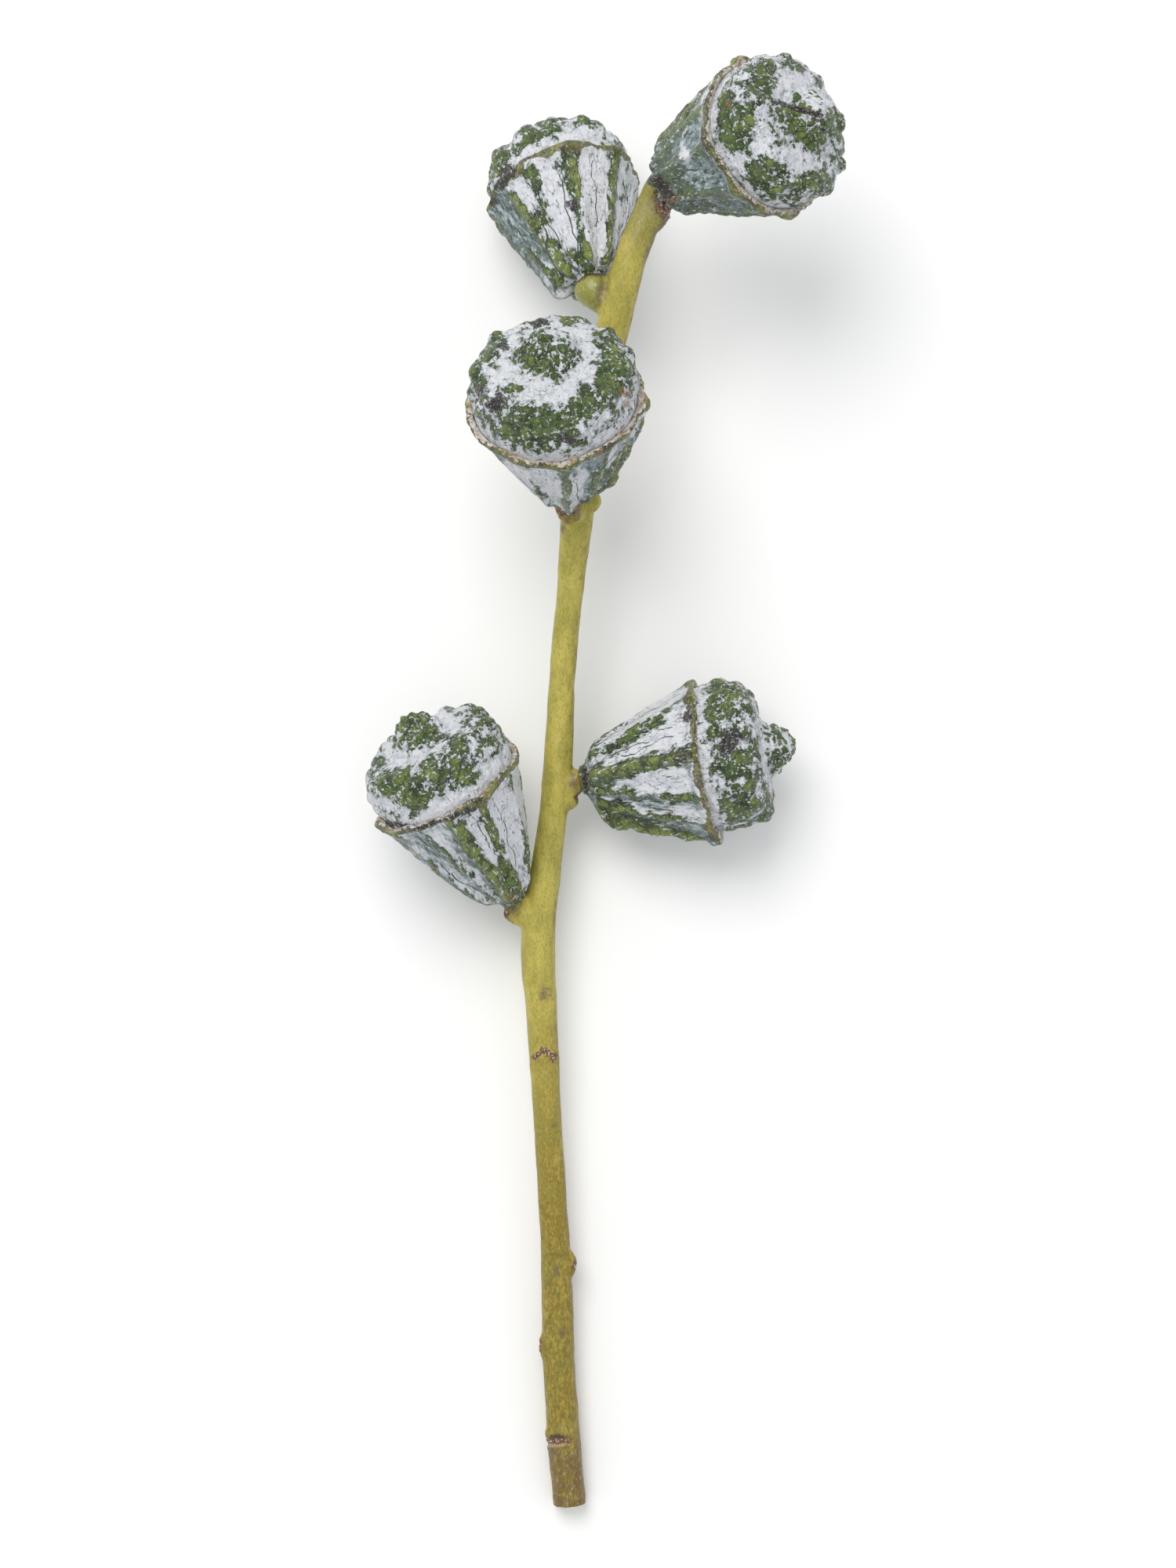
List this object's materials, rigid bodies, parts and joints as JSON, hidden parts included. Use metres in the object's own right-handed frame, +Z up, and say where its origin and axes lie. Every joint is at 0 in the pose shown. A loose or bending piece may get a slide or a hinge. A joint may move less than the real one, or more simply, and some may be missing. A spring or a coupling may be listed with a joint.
{
  "type": "eucalyptus gum nut sprig",
  "caption": "Cut eucalyptus sprig lying down: a slender green stem with ribbed, waxy gum nuts, each a cup closed by a warty cap with a central knob.",
  "frame": {"origin": "on the table under the middle of the sprig's bounding box", "axes": "+Z up from the table, +Y along the sprig from its cut end to its top, +X to the right seen from above"},
  "size_m": [0.0596, 0.1827, 0.0429],
  "materials": {
    "stem_bark": "satin yellow-green young bark with fine mottling and dark leaf scars",
    "nut_cup_wax": "green rind under bluish-white wax in the valleys, bare green along the ribs",
    "nut_cap_wax": "glossy green warts rubbed bare, with bluish-white wax between them"
  },
  "bodies": {
    "root": {"stem": "stem_bark", "nut_1_cup": "nut_cup_wax", "nut_1_cap": "nut_cap_wax", "nut_2_cup": "nut_cup_wax", "nut_2_cap": "nut_cap_wax", "nut_3_cup": "nut_cup_wax", "nut_3_cap": "nut_cap_wax", "nut_4_cup": "nut_cup_wax", "nut_4_cap": "nut_cap_wax", "nut_5_cup": "nut_cup_wax", "nut_5_cap": "nut_cap_wax"}
  },
  "joints": []
}
